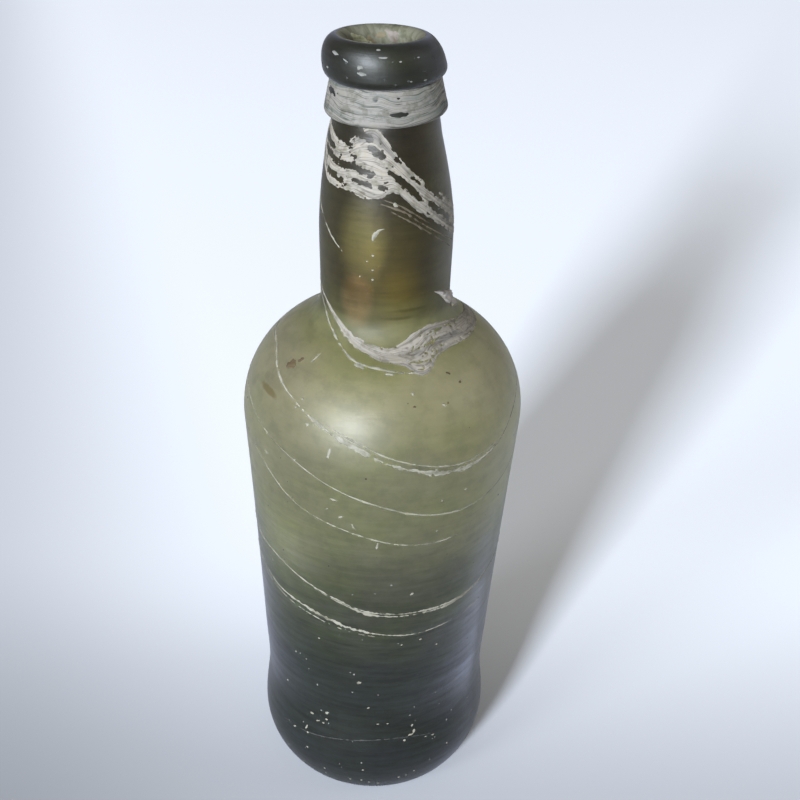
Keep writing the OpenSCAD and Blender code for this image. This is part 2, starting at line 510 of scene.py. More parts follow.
def fleck_parts(surface, azimuth, height, length, width, turn, seed, thickness):
    """A small ragged flake. turn is the angle of its length from level, in degrees."""
    reach = length * 0.75 + 0.3
    steps = np.linspace(-reach, reach, max(int(2 * reach / FLECK_STEP), 9))
    level, rise = np.meshgrid(steps, steps, indexing="ij")
    centre = float(surface.at_height(height))
    grid_azimuth = azimuth + np.degrees(level / float(surface.radius(centre)))
    grid_along = centre + rise
    cos_turn, sin_turn = math.cos(math.radians(turn)), math.sin(math.radians(turn))
    lengthwise = level * cos_turn + rise * sin_turn
    sideways = rise * cos_turn - level * sin_turn
    places = surface.on(grid_azimuth, grid_along)
    rough = mottle(places, max(0.9, width * 0.5), 3, seed)
    dome = 1 - np.hypot(lengthwise / (length / 2), sideways / (width / 2))
    mask = dome + 0.55 * rough
    lift = thickness * smooth_step(0, 0.5, mask) * (1 + 0.3 * rough)
    mask = mask * width / 2
    grain = np.stack([lengthwise, sideways], axis=-1)
    return skin_parts(surface, grid_azimuth, grid_along, mask, lift, grain)


# ---- Materials ----

WHITE = (1, 1, 1)
BLACK = (0, 0, 0)


class Graph:
    """A material's nodes. A source is a socket to link from, or a value to set."""

    def __init__(self, name):
        self.material = bpy.data.materials.new(name)
        self.material.use_nodes = True
        self.nodes = self.material.node_tree.nodes
        self.links = self.material.node_tree.links
        self.place = self.add("TexCoord", {}).outputs["Object"]

    def feed(self, socket, source):
        if isinstance(source, bpy.types.NodeSocket):
            self.links.new(source, socket)
        elif socket.type == "RGBA":
            socket.default_value = (*source, 1)
        else:
            socket.default_value = source

    def add(self, kind, sources, **settings):
        """A new node. sources go to its sockets by name or number."""
        node = self.nodes.new("ShaderNode" + kind)
        for name, value in settings.items():
            setattr(node, name, value)
        for socket, source in sources.items():
            self.feed(node.inputs[socket], source)
        return node

    def shade(self, sources):
        for socket, source in sources.items():
            self.feed(self.nodes["Principled BSDF"].inputs[socket], source)

    def math(self, operation, *sources):
        return self.add("Math", dict(enumerate(sources)), operation=operation).outputs[0]

    def vector_math(self, operation, *sources):
        return self.add("VectorMath", dict(enumerate(sources)), operation=operation)

    def mix(self, factor, first, second, mode="MIX"):
        sources = {0: factor, 6: first, 7: second}
        return self.add("Mix", sources, data_type="RGBA", blend_type=mode).outputs[2]

    def bump(self, height, strength, distance):
        sources = {"Height": height, "Strength": strength, "Distance": distance}
        return self.add("Bump", sources).outputs["Normal"]

    def noise(self, vector, scale, stretch, detail, roughness=0.55, distortion=0.0):
        """Noise over a vector. stretch squeezes or draws out the pattern on each axis."""
        mapping = self.add("Mapping", {"Vector": vector, "Scale": stretch})
        sources = {"Scale": scale, "Detail": detail, "Roughness": roughness, "Distortion": distortion}
        return self.add("TexNoise", {"Vector": mapping.outputs["Vector"], **sources}).outputs["Fac"]

    def ramp(self, source, stops, interpolation="EASE"):
        """A colour ramp from (position, colour) stops, its first and last included."""
        node = self.add("ValToRGB", {"Fac": source})
        node.color_ramp.interpolation = interpolation
        elements = node.color_ramp.elements
        while len(elements) > 1:
            elements.remove(elements[-1])
        for i, (position, color) in enumerate(stops):
            element = elements[0] if i == 0 else elements.new(position)
            element.position = position
            element.color = (*color, 1)
        return node.outputs["Color"]

    def by_height(self, wobble, stops):
        """A colour by height in millimetres, its bands swayed by wobble."""
        height = self.add("SeparateXYZ", {0: self.place}).outputs["Z"]
        share = self.math("MULTIPLY", height, 1 / (BOTTLE_H * MM))
        swayed = self.math("MULTIPLY_ADD", wobble, 0.08, self.math("SUBTRACT", share, 0.04))
        return self.ramp(swayed, [(z / BOTTLE_H, color) for z, color in stops])

    def spot(self, centre, reach, soft, wobble):
        """1 inside an ellipsoid of a centre and a reach in millimetres, 0 outside it.

        soft is the share of the reach over which it fades out, and wobble frays its edge.
        """
        offset = self.vector_math("SUBTRACT", self.place, [v * MM for v in centre])
        scaled = self.vector_math("DIVIDE", offset.outputs[0], [v * MM for v in reach])
        length = self.vector_math("LENGTH", scaled.outputs[0])
        frayed = self.math("MULTIPLY_ADD", wobble, 0.4, length.outputs["Value"])
        return self.ramp(self.math("SUBTRACT", frayed, 0.2), [(1 - soft, WHITE), (1, BLACK)])


def greys(stops):
    """Ramp stops of plain values as greys."""
    return [(position, (value, value, value)) for position, value in stops]


STREAK_TONES = [(0.36, (0.56, 0.6, 0.7)), (0.5, WHITE), (0.64, (1.4, 1.45, 1.7))]
PATCH_TONES = [(0.38, (0.95, 1.06, 0.7)), (0.5, WHITE), (0.62, (0.97, 0.91, 1.2))]
MOTTLE_TONES = [(0.32, (0.78, 0.8, 0.78)), (0.6, WHITE)]


def glass_color(graph, cloud, streak, mottling, colors, streaks, spots):
    """Colour by height, with spots, level streaks, patches of tint and mottling laid over it."""
    color = graph.by_height(cloud, colors)
    for centre, reach, soft, tint in spots:
        tinted = graph.mix(1.0, color, tint, "MULTIPLY")
        color = graph.mix(graph.spot(centre, reach, soft, mottling), color, tinted)
    patches = graph.noise(graph.place, 45, (1, 1, 1.6), 4, 0.6)
    share = graph.by_height(cloud, greys(streaks))
    color = graph.mix(share, color, graph.ramp(streak, STREAK_TONES), "MULTIPLY")
    color = graph.mix(share, color, graph.ramp(patches, PATCH_TONES), "MULTIPLY")
    return graph.mix(1.0, color, graph.ramp(mottling, MOTTLE_TONES), "MULTIPLY")


def glass_relief(graph, cloud, streak, mottling):
    """The skin's relief: broad swells, level tool marks, pits and grain."""
    pits = graph.noise(graph.place, 900, (1, 1, 1), 2)
    relief = cloud
    for pattern, height in ((streak, 0.28), (pits, 0.12), (mottling, 0.2)):
        relief = graph.math("MULTIPLY_ADD", pattern, height, relief)
    return relief


def glass_material(
    name, colors, roughness, film, streaks, gloss, gloss_tint, density, absorb_color, spots
):
    """Blown glass with a weathered skin.

    colors, roughness, film and streaks are stops by height, in millimetres. film is the weight of the
    bluish film that shows at the edges, and streaks the strength of the level bands in the colour. Each
    spot is a centre, a reach, a softness and a tint.
    """
    graph = Graph(name)
    cloud = graph.noise(graph.place, 40, (1, 1, 1.6), 3)
    streak = graph.noise(graph.place, 60, (0.9, 0.9, 8), 5, 0.65)
    mottling = graph.noise(graph.place, 210, (1, 1, 1), 4, 0.65)
    smoothest = graph.math("SUBTRACT", graph.by_height(cloud, greys(roughness)), 0.1)
    film_streak = graph.math("MULTIPLY_ADD", streak, 2.4, -0.2)
    graph.shade({
        "Base Color": glass_color(graph, cloud, streak, mottling, colors, streaks, spots),
        "Roughness": graph.math("MULTIPLY_ADD", streak, 0.2, smoothest),
        "IOR": 1.5,
        "Transmission Weight": 0.92,
        "Specular IOR Level": gloss,
        "Specular Tint": gloss_tint,
        "Sheen Weight": graph.math("MULTIPLY", graph.by_height(cloud, greys(film)), film_streak),
        "Sheen Roughness": 0.36,
        "Sheen Tint": (0.8, 0.8, 1.0),
        "Normal": graph.bump(glass_relief(graph, cloud, streak, mottling), 0.4, 0.0007),
    })
    absorb = graph.add("VolumeAbsorption", {"Color": absorb_color, "Density": density})
    graph.links.new(absorb.outputs[0], graph.nodes["Material Output"].inputs["Volume"])
    return graph.material


def crust_material(name, light, mid, line, line_depth, line_stretch=0.06, line_places=(0.4, 0.51, 0.62)):
    """Laminar weathering crust: pale mineral with thin wavy lines that run along its grain."""
    graph = Graph(name)
    grain = graph.add("Attribute", {}, attribute_name="grain").outputs["Vector"]
    broad = graph.noise(grain, 0.4, (0.12, 1, 1), 3, 0.5, 0.3)
    fine = graph.noise(grain, 0.8, (line_stretch, 1.1, 1), 0.8, 0.5, 0.2)
    blotch = graph.noise(graph.place, 300, (1, 1, 1), 4, 0.6)
    tone = graph.ramp(broad, [(0.34, mid), (0.5, light), (0.62, light), (0.72, mid)])
    lines = graph.ramp(fine, [
        stop for p in line_places for stop in ((p - 0.03, WHITE), (p, line), (p + 0.03, WHITE))
    ])
    dirt = graph.ramp(blotch, [(0.36, (0.66, 0.66, 0.6)), (0.52, WHITE), (0.7, (1.0, 0.97, 0.9))])
    lined = graph.mix(line_depth, tone, lines, "MULTIPLY")
    relief = graph.math("MULTIPLY_ADD", blotch, 0.4, fine)
    graph.shade({
        "Base Color": graph.mix(1.0, lined, dirt, "MULTIPLY"),
        "Roughness": 0.6,
        "Specular IOR Level": 0.25,
        "Normal": graph.bump(relief, 0.35, 0.0003),
    })
    return graph.material


def floor_material():
    """Plain pale paper, with painted shade that darkens it towards the front and the left."""
    graph = Graph("pale_paper")
    parts = graph.add("SeparateXYZ", {0: graph.place}).outputs
    slant = graph.math("MULTIPLY_ADD", parts["Y"], 0.3, parts["X"])
    tones = []
    # Painted shade: darkens the paper towards the front, and towards the left along the slant.
    for distance, near, far, dim in ((parts["Y"], -0.09, 0.11, 0.5), (slant, -0.17, 0.0, 0.62)):
        sources = {"Value": distance, "From Min": near, "From Max": far, "To Min": dim}
        tones.append(graph.add("MapRange", sources, interpolation_type="SMOOTHSTEP").outputs["Result"])
    paper = [(0, BLACK), (1, (0.86, 0.87, 0.88))]
    graph.shade({
        "Base Color": graph.ramp(graph.math("MULTIPLY", *tones), paper, "LINEAR"),
        "Roughness": 0.9,
        "Specular IOR Level": 0.1,
    })
    return graph.material


# ---- The glass ----


def vessel_look():
    """Olive glass, palest under the shoulder and brown in the neck; its darkening to nearly black at the
    base is painted shade.
    """
    return glass_material(
        "vessel_glass",
        # Colour by height; the dark stops towards the base are painted shade laid into the glass.
        colors=[
            (0, (0.013, 0.031, 0.027)), (50, (0.03, 0.053, 0.032)), (85, (0.22, 0.235, 0.11)),
            (120, (0.65, 0.62, 0.35)), (162, (0.72, 0.66, 0.44)), (171, (0.55, 0.53, 0.27)),
            (178, (0.23, 0.205, 0.06)), (187, (0.14, 0.105, 0.013)), (205, (0.115, 0.09, 0.01)),
            (235, (0.068, 0.05, 0.008)),
        ],
        roughness=[(150, 0.45), (166, 0.5), (176, 0.58), (190, 0.46), (235, 0.4)],
        film=[
            (0, 0.02), (24, 0.11), (48, 0.38), (75, 0.36), (95, 0.2),
            (120, 0.07), (150, 0.03), (255, 0.02),
        ],
        streaks=[(0, 1), (75, 0.9), (100, 0.45), (125, 0.25), (165, 0.15), (190, 0.35), (255, 0.35)],
        gloss=0.21,
        gloss_tint=(1.0, 0.95, 0.86),
        density=45,
        absorb_color=(0.38, 0.4, 0.15),
        spots=[
            ((5, -17, 185), (11, 9, 12), 0.8, (2.1, 1.95, 1.7)),
            ((-7, -18, 183), (6, 9, 10), 0.5, (2.3, 1.75, 2.3)),
            ((8.5, -18, 180.4), (9, 9, 0.9), 0.9, (0.5, 0.5, 0.35)),
            ((5.5, -19, 178), (7, 9, 0.8), 0.9, (0.5, 0.5, 0.35)),
            # Painted highlight: a bright upright streak of sheen on the neck's front left.
            ((-6, -19, 202), (9.5, 9, 18), 0.8, (5.4, 5.6, 12)),
            # Painted highlight: spreads the neck's painted sheen further to the right.
            ((4, -19, 198), (11, 9, 18), 0.9, (2.0, 1.9, 1.6)),
            ((-31, -17, 154), (4.5, 9, 1.6), 0.3, (0.6, 0.5, 0.35)),
            # Painted light: lightens the lower body's left front, the side the lamps light.
            ((-30, -30, 96), (22, 22, 24), 0.9, (1.8, 1.8, 1.9)),
        ],
    )


def finish_look():
    """The dark glass of the collar and the lip."""
    return glass_material(
        "finish_glass",
        colors=[(230, (0.052, 0.054, 0.018)), (255, (0.056, 0.058, 0.02))],
        roughness=[(230, 0.5), (255, 0.49)],
        film=[(230, 0.13), (255, 0.13)],
        streaks=[(230, 0.6), (255, 0.6)],
        gloss=0.13,
        gloss_tint=(1.0, 0.99, 0.92),
        density=220,
        absorb_color=(0.3, 0.34, 0.12),
        # Painted light: a glow of light through the lip, lightening its front below the crest.
        spots=[((1, -13, 251.5), (9, 6, 3.5), 0.8, (2.4, 2.3, 1.2))],
    )


def add_glass():
    """The three pieces of glass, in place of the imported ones."""
    vessel_glass, finish_glass = vessel_look(), finish_look()
    vessel_section = chain(underside_line(), vessel_outside(), vessel_inside()[::-1], floor_line()[::-1])
    collar_section = chain(collar_face(), [(NECK_END_R + SEAT_GAP, SEAT_Z - SEAT_GAP)])
    pieces = {
        "vessel": revolve("vessel_glass", vessel_section, vessel_glass),
        "collar": revolve("collar_glass", collar_section, finish_glass, closed=True),
        "lip": revolve("lip_glass", lip_section(), finish_glass, closed=True),
    }
    for node, piece in pieces.items():
        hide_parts(node)


# ---- Sheets of crust and film ----

OUTSIDE = Surface(vessel_outside())
COLLAR_SIDE = Surface(collar_face())
LIP_SIDE = Surface(lip_face())
BORE = Surface(mouth_bore(), inward=True)

# Azimuths, shares of the collar's height, and depth of the bare windows in its crust.
COLLAR_WINDOWS = [
    ((4, 23), (0.4, 0.5), 1.4), ((-12, -7), (0.74, 0.82), 1.0), ((-80, -56), (0.68, 0.84), 0.9),
]


def edge_line(surface, azimuth, stops):
    """Length along the outline of a smooth edge through (azimuth, height) stops, at each azimuth."""
    stop_azimuth, stop_height = np.array(stops, float).T
    return catmull(stop_azimuth, surface.at_height(stop_height), np.clip(azimuth, *stop_azimuth[[0, -1]]))


def sheet_parts(azimuths, heights, upper, lower, bare, spread, seed, fray=0.5):
    """Crust on the vessel between two edges of (azimuth, height) stops, less the bare bands.

    spread is how many millimetres of grain lie between the edges.
    """
    azimuth, along = grid(OUTSIDE, azimuths, heights)
    places = OUTSIDE.on(azimuth, along)
    top = edge_line(OUTSIDE, azimuth, upper)
    bottom = edge_line(OUTSIDE, azimuth, lower)
    share = (along - bottom) / np.maximum(top - bottom, 0.1)
    grain = np.stack([np.radians(azimuth) * OUTSIDE.radius(along), share * spread], axis=-1)
    rough = mottle(places, 1.5, 4, seed)
    drawn_out = np.stack([grain[..., 0] / 8, grain[..., 1], 0 * along], axis=-1)
    streaks = mottle(drawn_out, 1.0, 3, seed + 1)
    chipping = mottle(places, 0.8, 2, seed + 4)
    mask = np.minimum(top - along, along - bottom) * 0.85
    for stops in bare:
        mask = np.minimum(mask, -band_field(OUTSIDE, places, stops) + 0.5 * chipping)
    mask = mask + fray * (rough + streaks)
    pitting = mottle(places, 1.3, 3, seed + 2)
    mask = np.minimum(mask, 2.5 * (0.62 - pitting - 0.4 * streaks))
    lift = CRUST_THICKNESS * np.clip(mask / SHEET_RISE, 0, 1) * (1 + 0.35 * streaks)
    return skin_parts(OUTSIDE, azimuth, along, mask, lift, grain)


def neck_crust():
    """The crust that runs down the neck from under the collar, towards +X."""
    upper = [
        (-95, 231.5), (-78, 231.3), (-62, 229.4), (-50, 228.6), (-38, 229.6), (-28, 232.5), (-20, 234),
        (-9, 233.7), (0, 230.8), (12, 226.4), (28, 221), (40, 217.4), (55, 213.4), (78, 208.6),
        (100, 202), (130, 194.5),
    ]
    lower = [
        (-95, 223), (-80, 219.5), (-61, 215.6), (-41, 215.8), (-28, 215.5), (-14, 214.2), (-4, 214.5),
        (6, 216.4), (26, 211.2), (46, 206.2), (69, 200.3), (90, 197), (110, 195.4), (130, 193.5),
    ]
    bare = [
        [(-62, 232.4, 3), (-46, 229.6, 3), (-36, 228.2, 1.6)], [(-13, 228, 2.2), (-3, 226.2, 2)],
        [(-74, 224.4, 2), (-52, 222.6, 2)], [(-47, 222.5, 1.6), (-35, 222.4, 1.6)],
        [(-30, 222.8, 1.8), (-14, 221, 2)], [(-64, 218.8, 2.3), (-44, 217.7, 2.1)],
        [(-30, 219.1, 1.8), (-15, 218, 1.8)], [(-5, 218, 1.4), (-1, 217.5, 1.4)],
        [(4, 222, 1.4), (18, 218.5, 2.1), (31, 213.9, 1.8)], [(10, 225.5, 0.9), (14, 224.5, 0.8)],
        [(25, 220, 0.9), (31, 218.5, 0.9)], [(39, 217.2, 1.5), (56, 212.4, 1.7)],
        [(41, 211.8, 1.4), (66, 205.2, 1.8)], [(-86, 228, 2.4), (-60, 225.8, 2)],
        [(-26, 232.2, 2), (-16, 230.4, 2)], [(72, 207, 0.8), (88, 203, 0.8)],
        [(74, 202, 0.7), (92, 199, 0.6)], [(-36, 226, 0.7), (-30, 225.2, 0.7)],
        [(38, 209.3, 0.6), (40, 208.7, 0.6)],
    ]
    return sheet_parts((-96, 132), (192, 234), upper, lower, bare, spread=16, seed=1)


def shoulder_crust():
    """The crust that rings the neck's foot and fans out over the shoulder."""
    upper = [
        (-110, 186), (-75, 181.1), (-60, 178.6), (-45, 175.6), (-32, 173.3), (-20, 171.5), (-7, 170.5),
        (4, 170.1), (12, 171), (24, 173.1), (39, 174.2), (54, 173.6), (68, 172.2), (95, 169.2),
        (120, 167),
    ]
    lower = [
        (-110, 185.4), (-75, 180.2), (-60, 177.4), (-45, 173.8), (-27, 170.3), (-13, 168.8), (-2, 167.8),
        (7, 167.3), (13, 166.8), (20, 164.9), (27, 165.3), (34, 167.2), (45, 167.8), (62, 167.6),
        (87, 166.8), (120, 165.5),
    ]
    bare = [
        [(28, 171.8, 0.3), (50, 172.1, 0.5), (85, 169.9, 0.3)],
        [(20, 169.2, 0.4), (36, 170, 0.6), (52, 170.2, 0.3)],
        [(15, 167.5, 0.5), (27, 167.2, 0.7), (40, 168.5, 0.4)], [(16, 165.8, 0.4), (24, 166, 0.5)],
    ]
    return sheet_parts((-110, 120), (163, 187), upper, lower, bare, spread=9, seed=11, fray=0.3)


def round_grid(surface, columns, rows, low_gap, high_gap):
    """Azimuth and along arrays all the way round a surface, short of its ends by two gaps."""
    along = np.linspace(low_gap, surface.length[-1] - high_gap, rows)
    return np.meshgrid(np.linspace(-180, 180, columns), along, indexing="ij")


def fold(azimuth):
    """Radians round from the front, folded back at the sides so that the two ways round meet behind."""
    return np.arcsin(np.sin(np.radians(azimuth)))


def collar_crust():
    """The crust that covers the collar almost all round."""
    azimuth, along = round_grid(COLLAR_SIDE, 361, 50, 0.4, 0.1)
    places = COLLAR_SIDE.on(azimuth, along)
    rough = mottle(places, 1.5, 4, 21)
    streaks = mottle(places, 0.9, 4, 22, stretch=(9, 9, 1))
    mask = 0.62 + 0.45 * rough + 0.5 * streaks
    share = along / COLLAR_SIDE.length[-1]
    for (left, right), (low, high), depth in COLLAR_WINDOWS:
        across = (azimuth - (left + right) / 2) / (right - left) * 2
        upward = (share - (low + high) / 2) / (high - low) * 2
        field = 1 - np.hypot(across, upward)
        mask = np.minimum(mask, -field * depth + 0.5 * rough)
    lift = COLLAR_THICKNESS * np.clip(mask / RING_RISE, 0, 1) * (1 + 0.4 * streaks)
    wave = 0.8 * np.sin(np.radians(azimuth) * 2 + 0.9) + mottle(places, 8, 2, 23)
    grain = np.stack([fold(azimuth) * COLLAR_R, along + wave], axis=-1)
    return skin_parts(COLLAR_SIDE, azimuth, along, mask, lift, grain, ring=True)


def mouth_film():
    """The dull film that lines the mouth."""
    azimuth, along = round_grid(BORE, 181, 40, 0.3, 0.05)
    mask = 0.7 + 0.6 * mottle(BORE.on(azimuth, along), 2.5, 4, 25)
    lift = FILM_THICKNESS * np.clip(mask / RING_RISE, 0, 1)
    grain = np.stack([along * 2, fold(azimuth) * MOUTH_R], axis=-1)
    return skin_parts(BORE, azimuth, along, mask, lift, grain, ring=True)


# ---- Threads: azimuth, height and width at each stop ----

NECK_FOOT_FLAKE = [
    (46, 184.2, 1.2), (56, 182.6, 3.2), (70, 179.6, 4.4), (86, 175.8, 4.4), (102, 171.8, 3.8),
    (118, 168.3, 2),
]
THREADS = {
    "thread_shoulder": [
        (-180, 160, 0.2), (-140, 161, 0.3), (-100, 162.2, 0.3), (-76, 162.5, 0.5), (-58, 159, 0.5),
        (-38, 155, 0.5), (-26, 152, 0.7), (-14, 148.8, 0.9), (-4, 145.8, 1), (2, 143.6, 0.7), (8, 142, 1),
        (19, 139.5, 1.2), (30, 138.1, 1.2), (42, 138.6, 0.9), (54, 141.4, 0.5), (66, 146, 0.3),
        (90, 152, 0.2), (140, 158, 0.3), (180, 160, 0.2),
    ],
    "thread_shoulder_edge": [
        (-24, 152.9, 0.25), (-8, 148.7, 0.35), (2, 145.6, 0.35), (12, 143.1, 0.4), (27, 140.4, 0.4),
        (38, 139.9, 0.4), (50, 141.6, 0.25),
    ],
    "thread_high": [
        (-180, 150, 0.15), (-110, 150.5, 0.15), (-73, 147.5, 0.4), (-54, 143.5, 0.3), (-38, 139.5, 0.3),
        (-18, 133, 0.35), (-3, 129, 0.5), (20, 123.5, 0.6), (34, 122, 0.4), (46, 122.5, 0.3),
        (60, 124.5, 0.2), (100, 134, 0.2), (150, 146, 0.2), (180, 150, 0.15),
    ],
    "thread_middle": [
        (-85, 142, 0.15), (-57, 132, 0.3), (-40, 124, 0.35), (-12, 117.5, 0.35), (11, 113, 0.3),
        (26, 112, 0.3), (36, 112.5, 0.2),
    ],
    "thread_low": [
        (-180, 97, 0.2), (-130, 100, 0.3), (-95, 99, 0.3), (-67, 97, 0.4), (-54, 96.5, 0.45),
        (-36, 93, 0.5), (-20, 89.5, 0.6), (-6, 86, 0.6), (8, 84.7, 0.5), (23, 84.4, 0.5), (39, 84.4, 0.6),
        (52, 85.7, 0.6), (66, 88, 0.4), (95, 93, 0.3), (140, 95, 0.3), (180, 97, 0.2),
    ],
    "thread_low_edge": [
        (-30, 91.3, 0.25), (-14, 87.3, 0.4), (-5, 84.9, 0.9), (5, 83.9, 0.4), (20, 83.5, 0.4),
        (36, 83.5, 0.6), (50, 84.8, 0.5), (60, 86.2, 0.2),
    ],
    "thread_lowest": [
        (-95, 88.5, 0.2), (-66, 85.5, 0.4), (-51, 83, 0.5), (-37, 82, 0.8), (-26, 80.5, 0.8),
        (-12, 78, 1), (-1, 76.5, 0.5), (17, 75, 0.25), (31, 75.5, 0.25), (56, 77, 0.2),
    ],
    "thread_lowest_edge": [
        (-72, 84.8, 0.2), (-50, 81.4, 0.3), (-30, 79, 0.35), (-14, 76.6, 0.3), (0, 75.2, 0.2),
    ],
    "thread_neck": [
        (-92, 213, 0.2), (-80, 208.5, 0.35), (-64, 204, 0.45), (-50, 200, 0.5), (-38, 197, 0.3),
    ],
    "thread_neck_mark": [(-1, 206.2, 0.5), (-5, 205.8, 1), (-10, 203.8, 1.1), (-12, 201, 0.7)],
    "thread_neck_foot": [
        (-105, 182.5, 0.2), (-88, 180.5, 0.3), (-72, 177.5, 0.4), (-56, 173.5, 0.45), (-43, 171, 0.5),
        (-31, 169, 0.45), (-19, 167.4, 0.6), (-7, 166.7, 0.5), (4, 166.1, 0.5), (12, 165.7, 0.4),
        (22, 165.2, 0.4),
    ],
}
HEEL_THREAD = [
    (-60, 23, 0.15), (-37, 24.6, 0.25), (-19, 26.6, 0.3), (-2, 28, 0.35), (11, 28.4, 0.3),
    (33, 26.4, 0.2),
]
NECK_LAMINAE = [
    [(-6, 213.4, 0.4), (12, 211.4, 0.5), (32, 206.6, 0.5), (52, 201.8, 0.4), (80, 196, 0.2)],
    [(4, 211.2, 0.3), (22, 207.6, 0.45), (44, 202, 0.4), (70, 195.6, 0.2)],
    [(-2, 214.4, 0.3), (10, 213, 0.4), (26, 209.6, 0.4), (40, 206, 0.2)],
]

# ---- Flecks: azimuth, height, length, width and turn of each ----

MOUTH_BROWN = [
    (-158, 251, 5, 3.5, 60), (-178, 252.5, 4, 2, 10), (150, 249, 3, 2, 20), (100, 250, 4, 2, 70),
]
MOUTH_PALE = [(162, 252, 6, 4, 85), (-120, 250, 4, 2.5, 80)]
# Painted light: pale olive patches that lighten the mouth's left inside, which the lamps leave in shade.
MOUTH_PAINTED_LIGHT = [(-135, 251.5, 9, 5, 10), (-105, 250, 5, 4, 40)]
FLECKS = [
    (-11, 198, 0.7, 0.6, 0), (-16, 196, 0.6, 0.5, 0), (-11, 193.5, 0.8, 0.5, 40),
    (-11, 190.5, 0.7, 0.6, 0), (-22, 191, 0.6, 0.5, 0), (8, 213, 1.6, 1, -30),
    (-15, 166.7, 3.4, 1.3, -10), (3, 165.6, 2.6, 0.8, 0), (-4, 166.7, 1.6, 0.6, 0),
    (-43, 166, 3.4, 0.6, 75), (-32, 151.4, 1, 0.8, 0), (-29, 152, 0.8, 0.6, 0), (-21, 145, 3.6, 0.9, 80),
    (-53, 136, 1.6, 0.6, -30), (-36, 139.5, 1, 0.6, 0), (-38, 157, 1.2, 0.5, -30),
    (-19, 129, 2.2, 0.6, -10), (-16, 123, 1.3, 0.6, 30), (-11, 120, 1.8, 0.5, -60), (-1, 113, 2, 0.9, 80),
    (25, 128, 0.8, 0.7, 0), (24, 116.5, 0.9, 0.6, 0), (36, 129.5, 0.9, 0.6, 0), (40, 140.8, 0.8, 0.6, 0),
    (15, 92.5, 1.3, 1, 40), (56, 77, 1, 0.7, 0), (28, 157.6, 2, 0.5, -45), (14, 161.5, 1, 0.6, -60),
    (-8, 54, 1.5, 1.1, 60), (-43, 58.5, 0.8, 0.5, 30), (-28, 70, 0.9, 0.6, 0), (12, 71, 1, 0.6, 0),
    (21, 72, 0.8, 0.5, 0), (30, 67.5, 0.7, 0.5, 0), (-34, 33.5, 1.4, 0.9, 20), (-25, 36.5, 1.3, 1, 50),
    (-25, 33.5, 1, 0.8, 0), (-27, 31.5, 0.9, 0.6, 0), (-30, 31.5, 1.6, 0.4, 20), (-37, 26.5, 2, 0.6, 70),
    (-36, 24.5, 1, 0.8, 0), (-45, 23.5, 1.2, 0.6, 30), (-36, 18, 0.9, 0.6, 0), (20, 32.5, 1.1, 0.7, 70),
    (21, 30, 1.8, 0.8, 80), (19, 28.8, 1.6, 0.7, 10), (16, 27, 0.9, 0.8, 0), (2, 35, 1, 0.4, 0),
    (7, 35, 0.9, 0.4, 0), (28, 26, 1.2, 0.4, 0), (32, 25.5, 1, 0.5, 0), (-3, 42.5, 1.1, 0.6, 40),
    (-5, 14.5, 0.7, 0.6, 0), (-26, 10.5, 0.8, 0.6, 0), (-6, 8, 0.7, 0.5, 0), (-2, 6.5, 0.9, 0.6, 0),
    (3, 5.6, 0.8, 0.5, 0), (14, 9, 0.9, 0.6, 0), (18, 9.5, 0.7, 0.5, 0), (22, 11, 0.6, 0.5, 0),
    (41, 18.5, 0.7, 0.5, 0), (-12, 7.5, 0.7, 0.5, 0), (-41, 7.5, 0.6, 0.5, 0), (-52, 41, 0.7, 0.5, 0),
    (110, 150, 1.4, 0.8, 20), (150, 120, 1.2, 0.8, 0), (-130, 60, 1.4, 0.9, 40), (-160, 135, 1, 0.7, 0),
    (165, 40, 1.2, 0.8, 0), (120, 30, 1, 0.7, 0), (-110, 28, 1.2, 0.8, 20), (-100, 120, 1, 0.6, 0),
]
STAINS = [
    (-55, 162.4, 4.6, 2.6, 35), (-51, 164.2, 2, 1.2, 60), (14, 158.6, 0.9, 0.6, 0),
    (36, 164, 1.4, 0.6, -40), (40, 161.5, 1, 0.7, 0), (30, 158, 0.8, 0.6, 0), (-6, 138.5, 0.7, 0.5, 0),
    (55, 168, 1.2, 0.6, 20),
]
CHIPS = [
    (-50, 252, 2.6, 0.8, -10), (-21, 250, 1.8, 0.9, 10), (-20, 248.6, 2.4, 0.8, -5),
    (-3, 254, 1.1, 0.5, 0), (2, 252.4, 2.2, 0.4, 0), (18, 251.5, 0.8, 0.4, 0), (37, 252, 0.8, 0.4, 0),
    (39, 246.5, 1, 0.4, 0), (-36, 251, 1.6, 0.4, -20), (24, 246.8, 0.8, 0.4, 0), (-62, 248, 1.2, 0.5, 10),
    (120, 251, 2, 0.9, 0), (-150, 250, 2.2, 0.9, 10),
]


def fleck_row(surface, flecks, seed, thickness=0.12):
    return [fleck_parts(surface, *fleck, seed + i, thickness) for i, fleck in enumerate(flecks)]


def dust(surface, count, heights, seed):
    """Specks of dirt scattered at random."""
    chance = random.Random(seed)
    flecks = []
    for _ in range(count):
        length = chance.choice((0.25, 0.35, 0.35, 0.5, 0.7))
        width = length * chance.uniform(0.5, 1)
        azimuth, height = chance.uniform(-180, 180), chance.uniform(*heights)
        flecks.append((azimuth, height, length, width, chance.uniform(-90, 90)))
    return fleck_row(surface, flecks, seed, 0.05)


# ---- The skins, each with its crust ----

